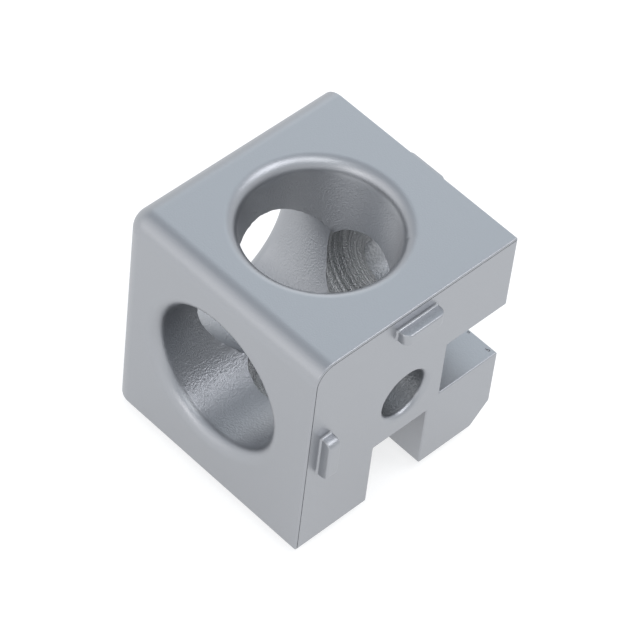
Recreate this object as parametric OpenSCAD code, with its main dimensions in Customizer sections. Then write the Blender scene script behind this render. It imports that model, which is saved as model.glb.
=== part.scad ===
// Three-way corner coupler for slotted aluminium profile, cast in one piece.
// Lengths are in millimetres and +Z is up.
// The origin is the centre of the lower joining face, on its screw hole.
// The three joining faces look down (-Z), right (+X) and front (-Y).
// The three outer faces, with the wide screw recesses, look up, left and back.

/* [Cube] */
// Side of the cube, the same as the side of the profile it joins
side = 30; // [28:0.5:36]
// Radius of the three outer edges and of the corner where they meet
outer_edge_r = 2.6; // [1:0.1:3]
// Radius of the three edges between joining faces
joining_edge_r = 0.6; // [0.2:0.1:1]
// Radius of the edges between an outer and a joining face
seam_edge_r = 0.3; // [0.1:0.05:0.6]
// Leg of the flat on the corner where the joining faces meet
corner_flat = 2.6; // [1.8:0.1:3.2]

/* [Screw recess] */
// Diameter of the recess just inside its rounded rim
recess_d = 18.6; // [17.4:0.2:19]
// How far the floor of the recess stays short of the cube's middle
recess_stop = 3; // [2.6:0.2:4.2]
// Draft of the recess wall in degrees
recess_draft = 2.9; // [1:0.1:4]
// Radius of the rounded rim of the recess
recess_rim_r = 1.1; // [0.5:0.1:1.4]

/* [Screw seat] */
// Diameter of the machined passage for the screw head
passage_d = 12.8; // [12.4:0.1:13.6]
// Thickness of the wall under the screw head
seat_wall = 3.9; // [3.4:0.1:4.6]
// Diameter of the screw hole
screw_hole_d = 6.4; // [5.4:0.1:7]
// Radius of the rounded outer rim of the screw hole
hole_rim_r = 0.6; // [0.3:0.1:0.8]

/* [Edge notch] */
// Width of the notch in the middle of each joining edge
notch_w = 8.2; // [6:0.1:9]
// How far the notch cuts past the wall of the screw passages beside it
notch_past_passage = 0.55; // [0.3:0.05:0.8]
// Radius of the notch's inner corners
notch_root_r = 0.5; // [0.2:0.1:1]

/* [Locating lug] */
// Length of a lug along the slot it keys into
lug_length = 6; // [4:0.5:8]
// Thickness of a lug across the slot's mouth
lug_thickness = 1.6; // [1.2:0.1:2]
// Height of a lug above its joining face
lug_height = 1.6; // [1:0.1:2]
// Distance from the outer face to the near side of the lug
lug_inset = 1.9; // [1:0.1:2.4]
// Radius of the lug's two outer corners
lug_end_r = 1; // [0.4:0.1:1]
// Radius of the fillet at the foot of the lug
lug_foot_r = 0.3; // [0.1:0.05:0.5]

/* [Hidden] */
$fn = 96;
cut_over = 1; // how far each cutting shape runs past what it cuts
cast_grey = [0.66, 0.69, 0.72];
half = side / 2;
recess_depth = half - recess_stop; // below the outer face
notch_depth = half - passage_d / 2 + notch_past_passage; // below both joining faces
// One third of a turn about the diagonal through the rounded and the flat corner
third_turns = [[0, 0, 0], [90, 0, -90], [-90, 90, 0]];

// Places its children three times, once for each pair of outer and joining face
module three_ways() {
    for (turn = third_turns)
        translate([0, 0, half])
            rotate(turn)
                translate([0, 0, -half])
                    children();
}

// Flat shape that a convex corner of radius r loses, with the corner at the origin
module corner_loss(r) {
    difference() {
        translate([-cut_over, -cut_over])
            square(r + cut_over);
        translate([r, r])
            circle(r);
    }
}

// Upright square prism with its four long edges rounded
module edged_prism() {
    linear_extrude(side)
        difference() {
            square(side, center = true);
            translate([-half, half])
                mirror([0, 1])
                    corner_loss(outer_edge_r);
            translate([half, -half])
                mirror([1, 0])
                    corner_loss(joining_edge_r);
            for (flip = [0, 1])
                rotate(180 * flip)
                    translate([-half, -half])
                        corner_loss(seam_edge_r);
        }
}

// Material outside the ball where the three rounded outer edges meet
module ball_corner_loss() {
    translate([-half, half - outer_edge_r, side - outer_edge_r])
        difference() {
            translate([-cut_over, 0, 0])
                cube(outer_edge_r + cut_over);
            translate([outer_edge_r, 0, 0])
                sphere(outer_edge_r);
        }
}

// Material outside the flat across the corner of the joining faces
module flat_corner_loss() {
    reach = (3 * half - corner_flat) / sqrt(3);
    lean = acos(-1 / sqrt(3));
    translate([0, 0, half])
        rotate([0, lean, -45])
            translate([0, 0, reach + half / 2])
                cube([side, side, half], center = true);
}

// Blank of the casting before its holes and notches
module blank() {
    difference() {
        intersection_for (turn = third_turns)
            translate([0, 0, half])
                rotate(turn)
                    translate([0, 0, -half])
                        edged_prism();
        ball_corner_loss();
        flat_corner_loss();
    }
}

// Half section of the recess: drafted wall, flat floor and rounded rim
module recess_section() {
    floor_z = side - recess_depth;
    floor_r = recess_d / 2 - recess_depth * tan(recess_draft);
    rim_z = side - recess_rim_r;
    rim_x = recess_d / 2 - recess_rim_r * tan(recess_draft)
        + recess_rim_r / cos(recess_draft);
    difference() {
        polygon([
            [0, floor_z],
            [floor_r, floor_z],
            [rim_x - recess_rim_r * cos(recess_draft), rim_z + recess_rim_r * sin(recess_draft)],
            [rim_x, rim_z],
            [rim_x, side + cut_over],
            [0, side + cut_over]
        ]);
        translate([rim_x, rim_z])
            circle(recess_rim_r);
    }
}

// Half section of the screw hole with its rounded outer rim
module screw_hole_section() {
    hole_r = screw_hole_d / 2;
    difference() {
        translate([0, -cut_over])
            square([hole_r + hole_rim_r, hole_rim_r + cut_over]);
        translate([hole_r + hole_rim_r, hole_rim_r])
            circle(hole_rim_r);
    }
    square([hole_r, seat_wall + cut_over]);
}

// Everything a screw passes on its way from the upper outer face to the lower face
module screw_way() {
    rotate_extrude()
        recess_section();
    translate([0, 0, seat_wall])
        cylinder(h = side - recess_depth - seat_wall + cut_over, d = passage_d);
    rotate_extrude()
        screw_hole_section();
}

// Outline of the notch as seen square on to one joining face, open downwards
module notch_outline() {
    difference() {
        translate([-notch_w / 2, -cut_over])
            square([notch_w, notch_depth + cut_over]);
        for (flip = [0, 1])
            mirror([flip, 0])
                translate([-notch_w / 2, notch_depth])
                    mirror([0, 1])
                        difference() {
                            square(notch_root_r);
                            translate([notch_root_r, notch_root_r])
                                circle(notch_root_r);
                        }
    }
}

// Notch in the edge between the front and the lower joining face
module edge_notch() {
    reach = notch_depth + cut_over;
    translate([0, -half, 0])
        intersection() {
            translate([0, notch_depth, 0])
                rotate([90, 0, 0])
                    linear_extrude(reach)
                        notch_outline();
            translate([0, 0, -cut_over])
                linear_extrude(reach)
                    notch_outline();
        }
}

// Lug on the lower face beside the left outer face, keyed to the profile's slot
module lug() {
    near_x = -half + lug_inset;
    difference() {
        translate([near_x, -lug_length / 2, -lug_height])
            cube([lug_thickness, lug_length, lug_height + cut_over]);
        for (flip = [0, 1])
            mirror([0, flip, 0])
                translate([near_x - cut_over, -lug_length / 2, -lug_height])
                    rotate([90, 0, 90])
                        linear_extrude(lug_thickness + 2 * cut_over)
                            corner_loss(lug_end_r);
    }
    lug_foot(near_x);
}

// Fillets along both long sides and both ends of the lug's foot
module lug_foot(near_x) {
    for (flip = [0, 1])
        translate([near_x + flip * lug_thickness, lug_length / 2, 0])
            mirror([flip, 0, 0])
                rotate([90, 0, 0])
                    linear_extrude(lug_length)
                        foot_fillet();
    for (flip = [0, 1])
        mirror([0, flip, 0])
            translate([near_x, -lug_length / 2, 0])
                rotate([90, 0, 90])
                    linear_extrude(lug_thickness)
                        foot_fillet();
}

// Section of the fillet between a lug's side, at x = 0, and the face above it
module foot_fillet() {
    difference() {
        translate([-lug_foot_r, -lug_foot_r])
            square([2 * lug_foot_r, 2 * lug_foot_r]);
        translate([-lug_foot_r, -lug_foot_r])
            circle(lug_foot_r);
    }
}

// The same lug beside the back outer face, mirrored in the coupler's own plane of symmetry
module lug_pair() {
    lug();
    rotate(-90)
        mirror([0, 1, 0])
            lug();
}

module coupler_body() {
    color(cast_grey) {
        difference() {
            blank();
            three_ways() {
                screw_way();
                edge_notch();
            }
        }
        three_ways()
            lug_pair();
    }
}

coupler_body();
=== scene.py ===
import math

import bmesh
import bpy
from mathutils import Matrix, Vector, noise


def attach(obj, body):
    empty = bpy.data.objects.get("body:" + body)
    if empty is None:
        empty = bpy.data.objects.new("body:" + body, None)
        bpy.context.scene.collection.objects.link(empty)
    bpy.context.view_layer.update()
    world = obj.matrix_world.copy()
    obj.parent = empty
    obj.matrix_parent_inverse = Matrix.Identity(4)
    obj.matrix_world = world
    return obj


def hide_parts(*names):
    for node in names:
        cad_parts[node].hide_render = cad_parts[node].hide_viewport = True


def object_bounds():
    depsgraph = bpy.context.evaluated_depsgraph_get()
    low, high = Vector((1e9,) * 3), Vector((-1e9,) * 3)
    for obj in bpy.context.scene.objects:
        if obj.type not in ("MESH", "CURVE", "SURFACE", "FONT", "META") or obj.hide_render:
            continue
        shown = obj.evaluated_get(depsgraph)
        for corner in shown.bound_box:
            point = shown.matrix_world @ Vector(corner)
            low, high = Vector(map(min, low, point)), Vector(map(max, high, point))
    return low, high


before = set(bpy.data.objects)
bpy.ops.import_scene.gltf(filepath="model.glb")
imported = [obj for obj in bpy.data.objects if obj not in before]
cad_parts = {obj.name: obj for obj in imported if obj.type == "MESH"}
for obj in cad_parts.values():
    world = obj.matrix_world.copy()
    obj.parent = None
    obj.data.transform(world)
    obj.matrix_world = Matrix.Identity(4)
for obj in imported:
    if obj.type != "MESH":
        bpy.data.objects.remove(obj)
cadLow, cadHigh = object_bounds()
mm = 0.001
scene = bpy.context.scene
print("frame loaded")

# The camera was fitted to the cube's corners; its place and clipping are in millimetres

shot = {
    "place": (-204.052, -177.795, 325.189),
    "right": (0.71989641, -0.68922618, 0.08195384),
    "up": (0.48460018, 0.58363946, 0.65155786),
    "lens": 210.115,
    "sensor": 36.0,
    "nearest": 10.0,
    "farthest": 10000.0,
}


def addCamera():
    data = bpy.data.cameras.new("shot")
    data.sensor_width = shot["sensor"]
    data.lens = shot["lens"]
    data.clip_start = shot["nearest"] * mm
    data.clip_end = shot["farthest"] * mm
    camera = bpy.data.objects.new("shot", data)
    scene.collection.objects.link(camera)
    right = Vector(shot["right"]).normalized()
    up = Vector(shot["up"]).normalized()
    turn = Matrix((right, up, right.cross(up))).transposed()
    camera.matrix_world = Matrix.Translation(Vector(shot["place"]) * mm) @ turn.to_4x4()
    scene.camera = camera


# Finishes: one aluminium, left by three ways of making a surface

finish = {
    "cast": "abadb1",
    "castRough": 0.38,
    "skinGrain": 0.2,       # mm across one grain of the tumbled skin
    "skinHeight": 0.016,
    "coreFrom": 0.8,        # mm below an outer face, between which the skin turns to the cores' grain
    "coreTo": 2.6,
    "coreGrain": 0.22,      # mm across one grain that the die's cores leave in the recesses
    "coreHeight": 0.055,
    "polishLine": 0.16,     # mm between the polishing lines of the cores
    "polishHeight": 0.008,
    "polishPatch": 2.4,     # mm across one patch of such lines
    "polishFrom": (0.5, 0.62),      # noise between which a patch grows to its full strength
    "polishShare": 0.8,     # strength of the lines in the middle of a patch
    "drilled": "c2c3c4",
    "drilledRough": 0.34,
    "chatter": 0.2,         # mm across one speck of tool chatter
    "chatterHeight": 0.16,
    "cored": "a1a3a6",
    "coredRough": 0.46,
    "coarse": 0.3,          # mm across one grain of the cored screw holes, which nothing polished
    "coarseHeight": 0.1,
}


def linear(text):
    channels = []
    for i in (0, 2, 4):
        c = int(text[i:i + 2], 16) / 255
        channels.append(c / 12.92 if c <= 0.04045 else ((c + 0.055) / 1.055) ** 2.4)
    return (*channels, 1)


def addNode(tree, kind, settings=None, links=None):
    # a setting goes to the node's property or, where it has none of that name, to its input socket;
    # a link comes from a socket, or from the first output of a node
    node = tree.nodes.new(kind)
    for name, value in (settings or {}).items():
        if isinstance(name, str) and hasattr(node, name):
            setattr(node, name, value)
        else:
            node.inputs[name].default_value = value
    for name, source in (links or {}).items():
        if isinstance(source, bpy.types.Node):
            source = source.outputs[0]
        tree.links.new(source, node.inputs[name])
    return node


def newMetal(name, colour, roughness):
    material = bpy.data.materials.new(name)
    material.use_nodes = True
    shader = material.node_tree.nodes["Principled BSDF"]
    shader.inputs["Base Color"].default_value = linear(colour)
    shader.inputs["Metallic"].default_value = 1
    shader.inputs["Roughness"].default_value = roughness
    return material, material.node_tree, shader


def castMetal():
    # Die-cast aluminium, tumbled: grey metal with a soft even sheen and a fine grain outside.
    # The recesses keep the coarser grain of the die's cores and faint polishing lines round them.
    material, tree, shader = newMetal("tumbledCastAluminium", finish["cast"], finish["castRough"])
    spot = addNode(tree, "ShaderNodeTexCoord").outputs["Object"]
    deep = addNode(tree, "ShaderNodeAttribute", {"attribute_name": "deep"}).outputs["Fac"]
    inside = addNode(tree, "ShaderNodeMapRange", {"interpolation_type": "SMOOTHSTEP",
                                                  "From Min": finish["coreFrom"],
                                                  "From Max": finish["coreTo"]}, {"Value": deep})
    patches = addNode(tree, "ShaderNodeTexNoise", {"Scale": 1 / (finish["polishPatch"] * mm), "Detail": 1},
                      {"Vector": spot})
    lined = addNode(tree, "ShaderNodeMapRange", {"From Min": finish["polishFrom"][0],
                                                 "From Max": finish["polishFrom"][1],
                                                 "To Max": finish["polishShare"]}, {"Value": patches})
    polished = addNode(tree, "ShaderNodeMath", {"operation": "MULTIPLY"}, {0: lined, 1: inside})
    skinGrain = addNode(tree, "ShaderNodeTexNoise", {"Scale": 1 / (finish["skinGrain"] * mm), "Detail": 3},
                        {"Vector": spot})
    skin = addNode(tree, "ShaderNodeBump", {"Strength": 1, "Distance": finish["skinHeight"] * mm},
                   {"Height": skinGrain})
    coreGrain = addNode(tree, "ShaderNodeTexNoise", {"Scale": 1 / (finish["coreGrain"] * mm), "Detail": 2},
                        {"Vector": spot})
    core = addNode(tree, "ShaderNodeBump", {"Distance": finish["coreHeight"] * mm},
                   {"Height": coreGrain, "Strength": inside, "Normal": skin})
    polishLines = addNode(tree, "ShaderNodeTexNoise", {"noise_dimensions": "1D", "Detail": 1,
                                                       "Scale": 1 / finish["polishLine"]}, {"W": deep})
    lines = addNode(tree, "ShaderNodeBump", {"Distance": finish["polishHeight"] * mm},
                    {"Height": polishLines, "Strength": polished, "Normal": core})
    tree.links.new(lines.outputs[0], shader.inputs["Normal"])
    return material


def drilledMetal():
    # Bare aluminium cut by a drill and a counterbore: brighter, neutral, with specks of tool chatter
    material, tree, shader = newMetal("drilledAluminium", finish["drilled"], finish["drilledRough"])
    spot = addNode(tree, "ShaderNodeTexCoord").outputs["Object"]
    specks = addNode(tree, "ShaderNodeTexNoise", {"Scale": 1 / (finish["chatter"] * mm), "Detail": 2},
                     {"Vector": spot})
    bump = addNode(tree, "ShaderNodeBump", {"Strength": 1, "Distance": finish["chatterHeight"] * mm},
                   {"Height": specks})
    tree.links.new(bump.outputs[0], shader.inputs["Normal"])
    return material


def coredMetal():
    # The screw holes keep the coarse skin of their core pins: the same metal, dull and granular
    material, tree, shader = newMetal("coredAluminium", finish["cored"], finish["coredRough"])
    spot = addNode(tree, "ShaderNodeTexCoord").outputs["Object"]
    grains = addNode(tree, "ShaderNodeTexNoise", {"Scale": 1 / (finish["coarse"] * mm), "Detail": 3},
                     {"Vector": spot})
    bump = addNode(tree, "ShaderNodeBump", {"Strength": 1, "Distance": finish["coarseHeight"] * mm},
                   {"Height": grains})
    tree.links.new(bump.outputs[0], shader.inputs["Normal"])
    return material


# Sizes of the casting in millimetres, and the number of steps in which its curves are drawn

casting = {
    "side": 30.0,
    "outerEdge": 2.6,
    "outerSteps": 16,
    "joiningEdge": 0.12,    # radius of the three edges between joining faces
    "seamEdge": 0.2,        # of every other edge of an outer or a joining face
    "notchEdge": 0.3,       # of the edges inside the notches
    "edgeSteps": 4,
    "mergeWithin": 1e-4,    # points nearer than this, and faces flatter than this, become one
    "flatWithin": math.radians(0.5),
    "breakFrom": math.radians(30),      # edges sharper than this are rounded
    "partingInset": 0.3,    # from the outer face to the line that the trimmed flash leaves
    "partingWide": 0.09,
    "partingDeep": 0.12,
    "partingSteps": 12,
    "cornerFlat": 2.6,      # leg of the flat on the corner where the joining faces meet
    "recessWide": 18.0,     # at the outer face, before its rim is rounded
    "recessDeep": 12.0,
    "recessDraft": math.radians(1.7),
    "recessRim": 1.7,
    "rimSteps": 14,
    "recessFoot": 0.6,
    "footSteps": 5,
    "wallSteps": 16,        # rows of faces on a recess wall, on which its grain is weighed
    "passageWide": 12.8,
    "seatWall": 3.9,
    "holeWide": 6.4,
    "holeRim": 0.75,
    "holeRimSteps": 8,
    "notchWide": 8.2,
    "notchDeep": 9.15,
    "turnSteps": 192,
    "smoothUpTo": math.radians(32),     # sharper edges than this stay sharp
}

half = casting["side"] / 2
over = 1.0          # how far a cutting shape runs past what it cuts
touching = 0.01     # closer than this, two places are the same
thirdTurn = Matrix(((0, 0, -1), (-1, 0, 0), (0, 1, 0)))
thirdTurns = [Matrix.Identity(3), thirdTurn, thirdTurn @ thirdTurn]


def roundCentre(turn):
    # turns about the cube's centre, which lies half a side above the origin
    centre = Matrix.Translation((0, 0, half))
    return centre @ turn.to_4x4() @ centre.inverted()


def meshOf(name, build):
    bm = bmesh.new()
    build(bm)
    bmesh.ops.recalc_face_normals(bm, faces=bm.faces)
    mesh = bpy.data.meshes.new(name)
    bm.to_mesh(mesh)
    bm.free()
    return mesh


def objectOf(mesh, name):
    piece = bpy.data.objects.new(name, mesh)
    scene.collection.objects.link(piece)
    return piece


def settle(piece):
    # modifiers become plain mesh
    bpy.context.view_layer.update()
    graph = bpy.context.evaluated_depsgraph_get()
    mesh = bpy.data.meshes.new_from_object(piece.evaluated_get(graph), depsgraph=graph)
    piece.modifiers.clear()
    piece.data = mesh
    return piece


def combine(piece, toolMesh, how):
    tool = objectOf(toolMesh, "tool")
    cut = piece.modifiers.new("cut", "BOOLEAN")
    cut.operation = how
    cut.solver = "EXACT"
    cut.material_mode = "TRANSFER"
    cut.object = tool
    settle(piece)
    bpy.data.objects.remove(tool)


def arc(centre, radius, start, end, steps):
    # points of an arc, angles in degrees
    points = []
    for i in range(steps + 1):
        a = math.radians(start + (end - start) * i / steps)
        points.append((centre[0] + radius * math.cos(a), centre[1] + radius * math.sin(a)))
    return points


def moved(mesh, matrix):
    copy = mesh.copy()
    copy.transform(matrix)
    return copy


def addTree(name, inputs):
    # an empty geometry tree with the named inputs, then its inputs and its result to link to
    tree = bpy.data.node_groups.new(name, "GeometryNodeTree")
    tree.interface.new_socket("Geometry", in_out="OUTPUT", socket_type="NodeSocketGeometry")
    tree.interface.new_socket("Geometry", in_out="INPUT", socket_type="NodeSocketGeometry")
    for label, kind in inputs.items():
        tree.interface.new_socket(label, in_out="INPUT", socket_type=kind)
    return tree, tree.nodes.new("NodeGroupInput").outputs, tree.nodes.new("NodeGroupOutput").inputs


def useTree(piece, tree, values):
    modifier = piece.modifiers.new(tree.name, "NODES")
    modifier.node_group = tree
    for item in tree.interface.items_tree:
        if item.in_out == "INPUT" and item.name in values:
            modifier[item.identifier] = values[item.name]
    return settle(piece)


# Blank: the cube before its holes, with every edge broken to its own radius


def roundedCube():
    # the three outer edges and their corner are rounded, and the joining corner is cut flat
    bm = bmesh.new()
    bmesh.ops.create_cube(bm, size=casting["side"])
    bmesh.ops.translate(bm, verts=bm.verts, vec=(0, 0, half))
    outerCorner = Vector((-half, half, casting["side"]))
    joiningCorner = Vector((half, -half, 0))
    outerEdges = [e for e in bm.edges if any((v.co - outerCorner).length < touching for v in e.verts)]
    bmesh.ops.bevel(bm, geom=outerEdges, offset=casting["outerEdge"], offset_type="OFFSET",
                    segments=casting["outerSteps"], profile=0.5, affect="EDGES")
    outward = Vector((1, -1, -1)).normalized()
    onFlat = joiningCorner - outward * casting["cornerFlat"] / math.sqrt(3)
    everything = bm.verts[:] + bm.edges[:] + bm.faces[:]
    cut = bmesh.ops.bisect_plane(bm, geom=everything, plane_co=onFlat, plane_no=outward, clear_outer=True)
    rim = [item for item in cut["geom_cut"] if isinstance(item, bmesh.types.BMEdge)]
    bmesh.ops.contextual_create(bm, geom=rim)
    mesh = bpy.data.meshes.new("roundedCube")
    bm.to_mesh(mesh)
    bm.free()
    return mesh


def notchTool():
    # notch in the edge between the front and the lower face
    wide, deep = casting["notchWide"] / 2, casting["notchDeep"]
    low = (-wide, -half - over, -over)
    high = (wide, -half + deep, deep)

    def build(bm):
        bmesh.ops.create_cube(bm, size=1)
        for v in bm.verts:
            v.co = [low[i] if v.co[i] < 0 else high[i] for i in range(3)]
    return meshOf("notch", build)


def breakEdges(piece):
    # every sharp edge is rounded, each by its own radius
    mesh = piece.data
    bm = bmesh.new()
    bm.from_mesh(mesh)
    bmesh.ops.remove_doubles(bm, verts=bm.verts, dist=casting["mergeWithin"])
    bmesh.ops.dissolve_limit(bm, angle_limit=casting["flatWithin"], verts=bm.verts, edges=bm.edges)
    weights = bm.edges.layers.float.new("bevel_weight_edge")
    widest = max(casting["joiningEdge"], casting["seamEdge"], casting["notchEdge"])
    onFace = half - touching
    for edge in bm.edges:
        if len(edge.link_faces) != 2 or edge.calc_face_angle(0) < casting["breakFrom"]:
            continue
        middle = (edge.verts[0].co + edge.verts[1].co) / 2 - Vector((0, 0, half))
        joining = [middle.x > onFace, middle.y < -onFace, middle.z < -onFace]
        outer = [middle.x < -onFace, middle.y > onFace, middle.z > onFace]
        if sum(joining) == 2:
            radius = casting["joiningEdge"]
        elif sum(joining) + sum(outer) >= 1:
            radius = casting["seamEdge"]
        else:
            radius = casting["notchEdge"]
        edge[weights] = radius / widest
    bm.to_mesh(mesh)
    bm.free()
    bevel = piece.modifiers.new("edges", "BEVEL")
    bevel.limit_method = "WEIGHT"
    bevel.width = widest
    bevel.segments = casting["edgeSteps"]
    bevel.offset_type = "OFFSET"
    bevel.use_clamp_overlap = True
    bevel.miter_inner = "MITER_SHARP"
    settle(piece)


def partingTool():
    # fine line that the trimmed flash leaves on the front face, beside the two outer faces
    inset, wide, deep = casting["partingInset"], casting["partingWide"] / 2, casting["partingDeep"]
    radius, top, steps = casting["outerEdge"], casting["side"], casting["partingSteps"]
    centre = (radius - half, top - radius)
    path = [((half + over, top - inset), (0, 1))]
    for i in range(steps + 1):
        a = math.radians(90 + 90 * i / steps)
        outward = (math.cos(a), math.sin(a))
        path.append(((centre[0] + (radius - inset) * outward[0],
                      centre[1] + (radius - inset) * outward[1]), outward))
    path.append(((inset - half, -over), (-1, 0)))
    section = ((-wide, deep), (wide, deep), (wide, -deep), (-wide, -deep))

    def build(bm):
        rings = []
        for (x, z), (outX, outZ) in path:
            rings.append([bm.verts.new((x + outX * side, -half + down, z + outZ * side))
                          for side, down in section])
        bm.faces.new(rings[0])
        bm.faces.new(rings[-1][::-1])
        for low, high in zip(rings, rings[1:]):
            for k in range(len(section)):
                n = (k + 1) % len(section)
                bm.faces.new((low[k], low[n], high[n], high[k]))
    return meshOf("parting", build)


def makeBlank():
    blank = objectOf(roundedCube(), "couplerBody")
    for turn in thirdTurns:
        combine(blank, moved(notchTool(), roundCentre(turn)), "DIFFERENCE")
    breakEdges(blank)
    for turn in thirdTurns:
        combine(blank, moved(partingTool(), roundCentre(turn)), "DIFFERENCE")
    return blank


coupler = makeBlank()
print("blank made,", len(coupler.data.polygons), "faces")

# Screw way: recess, machined passage with its tool rings, seat and screw hole

toolMarks = {
    "reach": 6.5,           # mm of passage wall above the seat that keeps its rings
    "step": 0.09,           # mm between section points where there are rings
    "depth": 0.1,           # mm from the top to the bottom of a ring
    "pitch": 0.62,          # mm, about the width of the widest rings
    "terrace": (0.38, 0.62),    # noise between which a ring turns from its bottom to its top
    "mouthRings": 0.2,      # share of the rings' depth at the screw hole's mouth
    "ringsGrow": 4,         # the full depth is reached at one part in this many of the seat's width
    "burr": 0.2,            # mm that the ragged burr stands up at the screw hole's mouth
    "burrTooth": 0.3,       # mm, about the width of a tooth of the burr
    "burrFrom": (0.35, 0.75),   # noise between which a tooth grows to its full height
    "burrPoints": 3,        # section points from the mouth over which the burr fades
    "burrFoot": ((0.4, 0), (0.25, 0.3), (0.1, 0.6)),    # mm below the mouth, and share of the burr
    "holeRows": (1.2, 1.9, 2.5),    # mm above the joining face, rows of points on the hole's wall
    "dish": 0.5,            # mm that the seat falls from the passage wall to the screw hole
    "seed": 3.0,
}

castSkin, drilledCut, coredSkin = range(3)      # how a part of the screw way's section was made


def waySection():
    # (radius, height, share of the rings, share of the burr, how it was made) from the foot of the
    # screw hole to above the recess
    holeR, rim = casting["holeWide"] / 2, casting["holeRim"]
    passageR, seat = casting["passageWide"] / 2, casting["seatWall"]
    top, draft = casting["side"], casting["recessDraft"]
    mouthR, deep, rimR = casting["recessWide"] / 2, casting["recessDeep"], casting["recessRim"]
    foot, dish, step = casting["recessFoot"], toolMarks["dish"], toolMarks["step"]
    points = [(0, -over, 0, 0, castSkin), (holeR + rim, -over, 0, 0, castSkin)]
    rimArc = arc((holeR + rim, rim), rim, 270, 180, casting["holeRimSteps"])
    points += [(r, z, 0, 0, castSkin) for r, z in rimArc]
    mouth = seat - dish
    points += [(holeR, z, 0, 0, coredSkin) for z in toolMarks["holeRows"]]
    points += [(holeR, mouth - drop, 0, share, coredSkin) for drop, share in toolMarks["burrFoot"]]
    points += [(holeR, mouth, toolMarks["mouthRings"], 1, drilledCut)]
    steps = round((passageR - holeR) / step)
    for i in range(1, steps + 1):
        t = i / steps
        rings, burr = min(1, toolMarks["ringsGrow"] * t), max(0, 1 - i / toolMarks["burrPoints"])
        points.append((holeR + (passageR - holeR) * t, mouth + dish * t, rings, burr, drilledCut))
    steps = round(toolMarks["reach"] / step)
    points += [(passageR, seat + step * (i + 1), 1, 0, drilledCut) for i in range(steps)]
    floorZ = top - deep
    floorR = mouthR - deep * math.tan(draft)
    points += [(passageR, floorZ, 1, 0, drilledCut)]
    lean = math.degrees(draft)
    footX = floorR + foot * math.tan(draft) - foot / math.cos(draft)
    footArc = arc((footX, floorZ + foot), foot, -90, -lean, casting["footSteps"])
    points += [(r, z, 0, 0, castSkin) for r, z in footArc]
    rimX = mouthR - rimR * math.tan(draft) + rimR / math.cos(draft)
    rimArc = arc((rimX, top - rimR), rimR, 180 - lean, 90, casting["rimSteps"])
    low, high = points[-1], rimArc[0]
    for i in range(1, casting["wallSteps"]):
        t = i / casting["wallSteps"]
        points.append((low[0] + (high[0] - low[0]) * t, low[1] + (high[1] - low[1]) * t, 0, 0, castSkin))
    points += [(r, z, 0, 0, castSkin) for r, z in rimArc]
    points += [(rimX, top + over, 0, 0, castSkin), (0, top + over, 0, 0, castSkin)]
    return points


def wayMesh():
    # the section turned about Z; its points know their place along it and their shares of the marks
    section = waySection()
    count = casting["turnSteps"]
    startTurn = 0.3     # of a step, so that no point falls on the cube's middle planes

    def build(bm):
        along, ringShare, burrShare = [bm.verts.layers.float.new(name)
                                       for name in ("along", "ringShare", "burrShare")]
        drilled, cored = [bm.faces.layers.bool.new(name) for name in ("drilled", "cored")]
        path = 0
        last = section[0]
        rings = []
        for r, z, ringing, burring, made in section:
            path += math.hypot(r - last[0], z - last[1])
            last = (r, z)
            ring = []
            for k in range(count if r > 0 else 1):
                a = 2 * math.pi * (k + startTurn) / count
                vert = bm.verts.new((r * math.cos(a), r * math.sin(a), z))
                vert[along], vert[ringShare], vert[burrShare] = path, ringing, burring
                ring.append(vert)
            rings.append((ring, made))
        for (low, lowMade), (high, highMade) in zip(rings, rings[1:]):
            for k in range(count):
                n = (k + 1) % count
                corners = [low[k % len(low)], low[n % len(low)], high[n % len(high)], high[k % len(high)]]
                face = bm.faces.new(list(dict.fromkeys(corners)))
                face[cored] = coredSkin in (lowMade, highMade)
                face[drilled] = lowMade == highMade == drilledCut
    return meshOf("screwWay", build)


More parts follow.
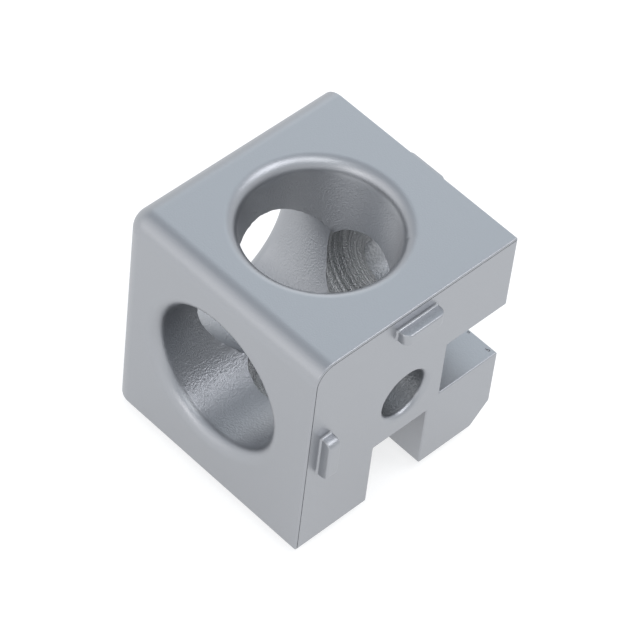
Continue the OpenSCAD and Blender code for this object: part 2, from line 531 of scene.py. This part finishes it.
def toolTree():
    # rings push points in and out along their normals by noise that changes only along the section;
    # the burr lifts the screw hole's mouth by noise that changes round it
    tree, given, result = addTree("toolMarks", {
        "Pitch": "NodeSocketFloat", "Depth": "NodeSocketFloat", "Tooth": "NodeSocketFloat",
        "Burr": "NodeSocketFloat", "Seed": "NodeSocketFloat", "Cast": "NodeSocketMaterial",
        "Drilled": "NodeSocketMaterial", "Cored": "NodeSocketMaterial"})
    along, ringShare, burrShare = [
        addNode(tree, "GeometryNodeInputNamedAttribute", {"data_type": "FLOAT", "Name": name})
        for name in ("along", "ringShare", "burrShare")]
    pitches = addNode(tree, "ShaderNodeMath", {"operation": "DIVIDE"}, {0: along, 1: given["Pitch"]})
    seeded = addNode(tree, "ShaderNodeMath", {"operation": "ADD"}, {0: pitches, 1: given["Seed"]})
    ring = addNode(tree, "ShaderNodeTexNoise", {"noise_dimensions": "1D", "Scale": 1.0, "Detail": 2},
                   {"W": seeded})
    terrace = addNode(tree, "ShaderNodeMapRange", {"interpolation_type": "SMOOTHSTEP",
                                                   "From Min": toolMarks["terrace"][0],
                                                   "From Max": toolMarks["terrace"][1],
                                                   "To Min": -0.5, "To Max": 0.5}, {"Value": ring})
    deepest = addNode(tree, "ShaderNodeMath", {"operation": "MULTIPLY"}, {0: terrace, 1: given["Depth"]})
    height = addNode(tree, "ShaderNodeMath", {"operation": "MULTIPLY"}, {0: deepest, 1: ringShare})
    push = addNode(tree, "ShaderNodeVectorMath", {"operation": "SCALE"},
                   {"Vector": addNode(tree, "GeometryNodeInputNormal"), "Scale": height})
    rings = addNode(tree, "GeometryNodeSetPosition", {}, {"Geometry": given["Geometry"], "Offset": push})
    teeth = addNode(tree, "ShaderNodeMath", {"operation": "DIVIDE", 0: 1.0}, {1: given["Tooth"]})
    tooth = addNode(tree, "ShaderNodeTexNoise", {"noise_dimensions": "4D", "Detail": 1},
                    {"Vector": addNode(tree, "GeometryNodeInputPosition"), "Scale": teeth,
                     "W": given["Seed"]})
    ragged = addNode(tree, "ShaderNodeMapRange", {"From Min": toolMarks["burrFrom"][0],
                                                  "From Max": toolMarks["burrFrom"][1]}, {"Value": tooth})
    tallest = addNode(tree, "ShaderNodeMath", {"operation": "MULTIPLY"}, {0: ragged, 1: given["Burr"]})
    lift = addNode(tree, "ShaderNodeMath", {"operation": "MULTIPLY"}, {0: tallest, 1: burrShare})
    up = addNode(tree, "ShaderNodeCombineXYZ", {}, {"Z": lift})
    burr = addNode(tree, "GeometryNodeSetPosition", {}, {"Geometry": rings, "Offset": up})
    real = addNode(tree, "GeometryNodeRealizeInstances", {}, {"Geometry": burr})
    painted = addNode(tree, "GeometryNodeSetMaterial", {}, {"Geometry": real, "Material": given["Cast"]})
    for label in ("Drilled", "Cored"):
        chosen = addNode(tree, "GeometryNodeInputNamedAttribute",
                         {"data_type": "BOOLEAN", "Name": label.lower()})
        painted = addNode(tree, "GeometryNodeSetMaterial", {},
                          {"Geometry": painted, "Selection": chosen, "Material": given[label]})
    tree.links.new(painted.outputs[0], result["Geometry"])
    return tree


def makeScrewWay(cast, drilled, cored):
    way = useTree(objectOf(wayMesh(), "screwWay"), toolTree(), {
        "Pitch": toolMarks["pitch"], "Depth": toolMarks["depth"], "Tooth": toolMarks["burrTooth"],
        "Burr": toolMarks["burr"], "Seed": toolMarks["seed"],
        "Cast": cast, "Drilled": drilled, "Cored": cored})
    for name in ("along", "ringShare", "burrShare", "drilled", "cored"):
        way.data.attributes.remove(way.data.attributes[name])
    return way


# Locating lugs: two on each joining face, keyed to the slots of the profile

lug = {
    "long": 6.0,
    "thick": 1.6,
    "high": 1.6,
    "inset": 1.9,
    "endRadius": 1.0,
    "endAngles": (0, 15, 30, 42, 52, 60, 67, 73, 78, 82, 86, 90),   # at which the rounded end has points
    "edge": 0.22,
    "foot": 0.3,
    "footSteps": 5,
    "root": 0.4,            # how far the lug runs down into the cube
    "cornerSteps": 4,
}


def lugMesh():
    # loft along +Z: concave foot, straight sides, rounded edge and rounded ends
    foot, edge, end, high = lug["foot"], lug["edge"], lug["endRadius"], lug["high"]
    levels = [(-lug["root"], foot, foot)]
    for i in range(lug["footSteps"] + 1):
        h = foot * i / lug["footSteps"]
        grow = foot - math.sqrt(max(foot ** 2 - (foot - h) ** 2, 0))
        levels.append((h, grow, grow))
    for t in lug["endAngles"]:
        h = high - end + end * math.sin(math.radians(t))
        endCut = end - end * math.cos(math.radians(t))
        past = max(h - (high - edge), 0)
        edgeCut = edge - math.sqrt(max(edge ** 2 - past ** 2, 0))
        levels.append((h, -max(endCut, edgeCut), -edgeCut))

    def build(bm):
        rings = []
        for h, growLong, growThick in levels:
            a = lug["long"] / 2 + growLong
            b = lug["thick"] / 2 + growThick
            ring = []
            for x, y, start in ((a, b, 0), (-a, b, 90), (-a, -b, 180), (a, -b, 270)):
                centre = (x - math.copysign(edge, x), y - math.copysign(edge, y))
                ring += arc(centre, edge, start, start + 90, lug["cornerSteps"])
            rings.append([bm.verts.new((x, y, h)) for x, y in ring])
        bm.faces.new(rings[0][::-1])
        bm.faces.new(rings[-1])
        for low, high in zip(rings, rings[1:]):
            for k in range(len(low)):
                n = (k + 1) % len(low)
                bm.faces.new((low[k], low[n], high[n], high[k]))
    return meshOf("lug", build)


def lugSpots():
    # two spots on each joining face, in the middle beside its outer faces
    aside = half - lug["inset"] - lug["thick"] / 2
    spots, outward, along = [], [], []
    for turn in thirdTurns:
        for x, y, way in ((-aside, 0, (0, 1, 0)), (0, aside, (1, 0, 0))):
            spots.append(roundCentre(turn) @ Vector((x, y, 0)))
            outward.append(turn @ Vector((0, 0, -1)))
            along.append(turn @ Vector(way))
    mesh = bpy.data.meshes.new("lugSpots")
    mesh.from_pydata(spots, [], [])
    for name, vectors in (("outward", outward), ("along", along)):
        attribute = mesh.attributes.new(name, "FLOAT_VECTOR", "POINT")
        for i, vector in enumerate(vectors):
            attribute.data[i].vector = vector
    return mesh


def lugTree():
    # stands a lug on every point, outward and along the slot as the point's attributes say
    tree, given, result = addTree("lugs", {"Lug": "NodeSocketObject", "Material": "NodeSocketMaterial"})
    outward, along = [
        addNode(tree, "GeometryNodeInputNamedAttribute", {"data_type": "FLOAT_VECTOR", "Name": name})
        for name in ("outward", "along")]
    shape = addNode(tree, "GeometryNodeObjectInfo", {}, {"Object": given["Lug"]})
    stand = addNode(tree, "FunctionNodeAlignRotationToVector", {"axis": "Z"}, {"Vector": outward})
    swing = addNode(tree, "FunctionNodeAlignRotationToVector", {"axis": "X", "pivot_axis": "Z"},
                    {"Rotation": stand, "Vector": along})
    place = addNode(tree, "GeometryNodeInstanceOnPoints", {},
                    {"Points": given["Geometry"], "Instance": shape.outputs["Geometry"],
                     "Rotation": swing})
    real = addNode(tree, "GeometryNodeRealizeInstances", {}, {"Geometry": place})
    paint = addNode(tree, "GeometryNodeSetMaterial", {}, {"Geometry": real, "Material": given["Material"]})
    tree.links.new(paint.outputs[0], result["Geometry"])
    return tree


def makeLugs(cast):
    shape = objectOf(lugMesh(), "lugShape")
    lugs = useTree(objectOf(lugSpots(), "lugs"), lugTree(), {"Lug": shape, "Material": cast})
    bpy.data.objects.remove(shape)
    return lugs


def putTogether(coupler, cast, drilled, cored):
    coupler.data.materials.clear()
    coupler.data.materials.append(cast)
    way = makeScrewWay(cast, drilled, cored)
    print("screw way made,", len(way.data.polygons), "faces")
    for turn in thirdTurns:
        combine(coupler, moved(way.data, roundCentre(turn)), "DIFFERENCE")
        print("screw way cut,", len(coupler.data.polygons), "faces")
    bpy.data.objects.remove(way)
    lugs = makeLugs(cast)
    combine(coupler, lugs.data, "UNION")
    bpy.data.objects.remove(lugs)
    print("lugs on,", len(coupler.data.polygons), "faces")


putTogether(coupler, castMetal(), drilledMetal(), coredMetal())

# Marks that this one casting carries, in millimetres

wear = {
    # dent on the upper recess's rim: its place, half its width, its depth and how sharply it ends
    "nick": {"place": (6.16, -7.48, 30.0), "width": 0.5, "depth": 0.1, "end": 0.15},
    # how far the ragged ridges between the recesses wander at their top and at their foot, how wide
    # one tooth is, and how deep in the recess the ridge starts, its foot starts and its foot is reached
    "ridge": {"top": 0.06, "foot": 0.22, "tooth": 0.4, "from": 3, "footFrom": 7, "footOver": 4,
              "seed": 3},
    # middle and radius of each small pit beside the edge of a notch
    "pits": [((14.6, -10.85, 10.9), 0.16), ((14.45, -14.15, 10.9), 0.2), ((14.35, -13.85, 10.9), 0.12)],
}

# how far off a surface, in mm, a point may lie and still belong to it
near = {"wall": 0.05, "rim": 0.2, "rimEnd": 0.1, "passage": 0.3, "ridge": 0.03}


def inWays(place):
    # a point's distance from the axis of each screw way, and its depth below that way's outer face
    for turn in thirdTurns:
        local = turn.inverted() @ (place - Vector((0, 0, half)))
        yield math.hypot(local.x, local.y), half - local.z


def wallRadius(deep):
    return casting["recessWide"] / 2 - deep * math.tan(casting["recessDraft"])


def markDepth(mesh):
    # how far each point on a recess wall lies below its outer face
    rim = casting["recessRim"]
    nearest = casting["passageWide"] / 2 + near["passage"]
    farthest = casting["recessWide"] / 2 + rim + near["rim"]
    values = []
    for vert in mesh.vertices:
        deepest = 0.0
        for far, deep in inWays(vert.co):
            if nearest < far < farthest and deep <= casting["recessDeep"]:
                gap = abs(far - wallRadius(deep))
                onRim = deep < rim + near["rimEnd"] and gap < rim + near["rim"]
                if deep > deepest and (onRim or gap < near["wall"]):
                    deepest = deep
        values.append(deepest)
    attribute = mesh.attributes.new("deep", "FLOAT", "POINT")
    attribute.data.foreach_set("value", values)


def roughenRidges(mesh):
    # the thin ridges where two recesses meet are ragged from the die, most of all at their foot
    ridge = wear["ridge"]
    noise.seed_set(ridge["seed"])
    for vert in mesh.vertices:
        depths = [deep for far, deep in inWays(vert.co)
                  if ridge["from"] < deep < casting["recessDeep"]
                  and abs(far - wallRadius(deep)) < near["ridge"]]
        if len(depths) > 1:
            share = min(1, max(0, (min(depths) - ridge["footFrom"]) / ridge["footOver"]))
            size = ridge["top"] + (ridge["foot"] - ridge["top"]) * share
            vert.co += noise.noise_vector(vert.co / ridge["tooth"]) * size


def addNick(mesh):
    # a dent that fades one way round the rim and ends in a sharp step the other way
    nick = wear["nick"]
    middle = Vector(nick["place"])
    for vert in mesh.vertices:
        gap = vert.co - middle
        if gap.length < 2 * nick["width"]:
            outward = Vector((vert.co.x, vert.co.y, 0)).normalized()
            along = gap.dot(Vector((-outward.y, outward.x, 0)))
            if along > 0:
                dent = outward * nick["depth"] * math.exp(-(along / nick["width"]) ** 2)
                vert.co += dent * min(1, along / nick["end"])


def addPits(piece):
    for middle, radius in wear["pits"]:
        bm = bmesh.new()
        bmesh.ops.create_icosphere(bm, subdivisions=2, radius=radius)
        bmesh.ops.translate(bm, verts=bm.verts, vec=middle)
        pit = bpy.data.meshes.new("pit")
        bm.to_mesh(pit)
        bm.free()
        combine(piece, pit, "DIFFERENCE")


def finishMesh(piece):
    # millimetres become metres, and flat faces keep their flat look beside the small radii
    mesh = piece.data
    mesh.transform(Matrix.Scale(mm, 4))
    mesh.shade_smooth()
    mesh.set_sharp_from_angle(angle=casting["smoothUpTo"])
    weigh = piece.modifiers.new("faces", "WEIGHTED_NORMAL")
    weigh.mode = "FACE_AREA"
    weigh.keep_sharp = True
    settle(piece)


addPits(coupler)
print("pits cut,", len(coupler.data.polygons), "faces")
markDepth(coupler.data)
roughenRidges(coupler.data)
addNick(coupler.data)
finishMesh(coupler)
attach(coupler, "root")
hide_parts("coupler_body")
for number, material in enumerate(coupler.data.materials):
    print(material.name, sum(1 for face in coupler.data.polygons if face.material_index == number), "faces")

addCamera()

# Stage: pale floor that looks white to the camera, soft light all round

studio = {
    "floorSize": 2.0,       # metres, well past what the camera sees
    "floorColour": 0.45,
    "glowInView": 0.7,      # makes the open floor white in view
    "glowInMetal": 0.605,   # and pale where the metal mirrors it, with the object's shadow left in it
    "horizon": (0.98, 1.0, 1.02, 1),
    "zenith": (0.55, 0.59, 0.64, 1),
    "zenithFrom": 0.15,     # height of the direction at which the sky starts to darken
    "zenithTo": 0.85,
    "dark": (0.45, -0.89, 0.0),     # towards the darker side of the room
    "darkFrom": 0.55,       # how closely a direction points there before it darkens, and is darkest
    "darkTo": 0.95,
    "darkness": 0.15,
    "lamps": [
        # direction from the object, distance and width in mm, brightness and colour of the lamp's face
        ((0.54, 0.46, 0.7), 500, 340, 0.5, (0.86, 0.96, 1.0)),
        ((-0.7, 0.43, 0.57), 450, 400, 0.42, (1.0, 0.95, 0.92)),
        ((0.38, -0.42, 0.83), 450, 220, 2.65, (0.99, 0.98, 1.0)),
        ((-0.84, -0.13, 0.53), 450, 180, 1.7, (1.0, 0.96, 0.93)),
        ((0.72, 0.62, 0.28), 450, 180, 0.55, (0.94, 0.98, 1.0)),
        ((-0.2, -0.35, 0.92), 450, 200, 2.0, (1.0, 1.0, 0.98)),
    ],
}


def addStage():
    bm = bmesh.new()
    bmesh.ops.create_grid(bm, x_segments=1, y_segments=1, size=studio["floorSize"])
    bmesh.ops.translate(bm, verts=bm.verts, vec=(0, 0, cadLow[2]))
    mesh = bpy.data.meshes.new("floor")
    bm.to_mesh(mesh)
    bm.free()
    floor = objectOf(mesh, "floor")
    paint = bpy.data.materials.new("paleFloor")
    paint.use_nodes = True
    tree = paint.node_tree
    tree.nodes.clear()
    shade = studio["floorColour"]
    matte = addNode(tree, "ShaderNodeBsdfDiffuse", {"Color": (shade, shade, shade, 1)})
    path = addNode(tree, "ShaderNodeLightPath")
    inView = addNode(tree, "ShaderNodeEmission", {"Strength": studio["glowInView"]})
    inMetal = addNode(tree, "ShaderNodeEmission", {"Strength": studio["glowInMetal"]})
    seen = addNode(tree, "ShaderNodeMixShader", {}, {"Fac": path.outputs["Is Camera Ray"], 2: inView})
    glow = addNode(tree, "ShaderNodeMixShader", {}, {"Fac": path.outputs["Is Glossy Ray"],
                                                     1: seen, 2: inMetal})
    both = addNode(tree, "ShaderNodeAddShader", {}, {0: matte, 1: glow})
    addNode(tree, "ShaderNodeOutputMaterial", {}, {"Surface": both})
    mesh.materials.append(paint)


def addLamps():
    aim = Vector((0, 0, half)) * mm
    for number, (towards, distance, size, brightness, colour) in enumerate(studio["lamps"]):
        towards = Vector(towards).normalized()
        data = bpy.data.lights.new(f"softLamp{number}", "AREA")
        data.size = size * mm
        data.color = colour
        data.energy = brightness * math.pi * data.size ** 2
        lamp = bpy.data.objects.new(data.name, data)
        scene.collection.objects.link(lamp)
        lamp.location = aim + towards * distance * mm
        lamp.rotation_euler = towards.to_track_quat("Z", "Y").to_euler()


def addWorld():
    # a bright horizon that darkens overhead and towards one side of the room
    world = bpy.data.worlds.new("studio")
    scene.world = world
    world.use_nodes = True
    tree = world.node_tree
    background = tree.nodes["Background"]
    place = addNode(tree, "ShaderNodeTexCoord").outputs["Generated"]
    axes = addNode(tree, "ShaderNodeSeparateXYZ", {}, {"Vector": place})
    up = addNode(tree, "ShaderNodeMapRange", {"interpolation_type": "SMOOTHSTEP",
                                              "From Min": studio["zenithFrom"],
                                              "From Max": studio["zenithTo"]},
                 {"Value": axes.outputs["Z"]})
    sky = addNode(tree, "ShaderNodeMix", {"data_type": "RGBA", "A": studio["horizon"],
                                          "B": studio["zenith"]}, {"Factor": up})
    towards = addNode(tree, "ShaderNodeVectorMath", {"operation": "DOT_PRODUCT", 1: studio["dark"]},
                      {0: place})
    shade = addNode(tree, "ShaderNodeMapRange", {"interpolation_type": "SMOOTHSTEP",
                                                 "From Min": studio["darkFrom"],
                                                 "From Max": studio["darkTo"],
                                                 "To Min": 1.0, "To Max": 1 - studio["darkness"]},
                    {"Value": towards.outputs["Value"]})
    tree.links.new(sky.outputs["Result"], background.inputs["Color"])
    tree.links.new(shade.outputs[0], background.inputs["Strength"])


addStage()
addLamps()
addWorld()
scene.view_settings.view_transform = "Standard"
print("stage set")
